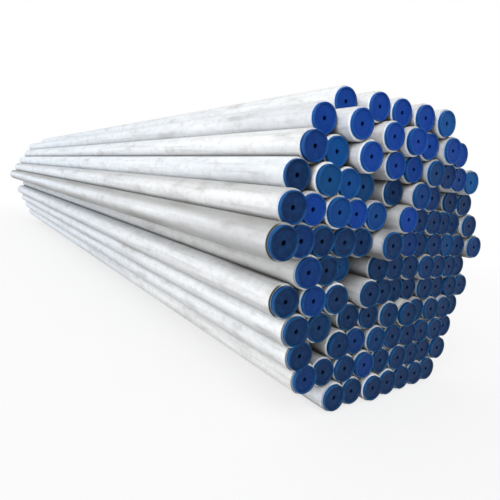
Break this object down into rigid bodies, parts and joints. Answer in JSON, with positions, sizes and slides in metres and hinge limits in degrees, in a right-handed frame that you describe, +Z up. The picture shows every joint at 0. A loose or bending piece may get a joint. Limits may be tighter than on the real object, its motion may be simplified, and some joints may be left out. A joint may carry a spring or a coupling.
{
  "type": "steel pipe bundle",
  "caption": "Bundle of long straight round steel pipes stacked in nested rows, each pipe end closed by a blue plastic push-in plug with a centre hole.",
  "frame": {"origin": "middle of the bundle's footprint, on the plane that it lies on", "axes": "+Y along the pipes toward the far end of the picture, +X to the right seen from the near end, +Z up"},
  "size_m": [1.4896, 6.3446, 1.2057],
  "materials": {
    "steel": "pickled matt stainless steel, lightly soiled",
    "plug": "blue moulded polyethylene, satin"
  },
  "bodies": {
    "root": {"pipes_row_01": "steel", "pipes_row_02": "steel", "pipes_row_03": "steel", "pipes_row_04": "steel", "pipes_row_05": "steel", "pipes_row_06": "steel", "pipes_row_07": "steel", "pipes_row_08": "steel", "pipes_row_09": "steel", "pipes_row_10": "steel", "pipes_row_11": "steel", "pipes_row_12": "steel", "plugs_row_01": "plug", "plugs_row_02": "plug", "plugs_row_03": "plug", "plugs_row_04": "plug", "plugs_row_05": "plug", "plugs_row_06": "plug", "plugs_row_07": "plug", "plugs_row_08": "plug", "plugs_row_09": "plug", "plugs_row_10": "plug", "plugs_row_11": "plug", "plugs_row_12": "plug"}
  },
  "joints": []
}
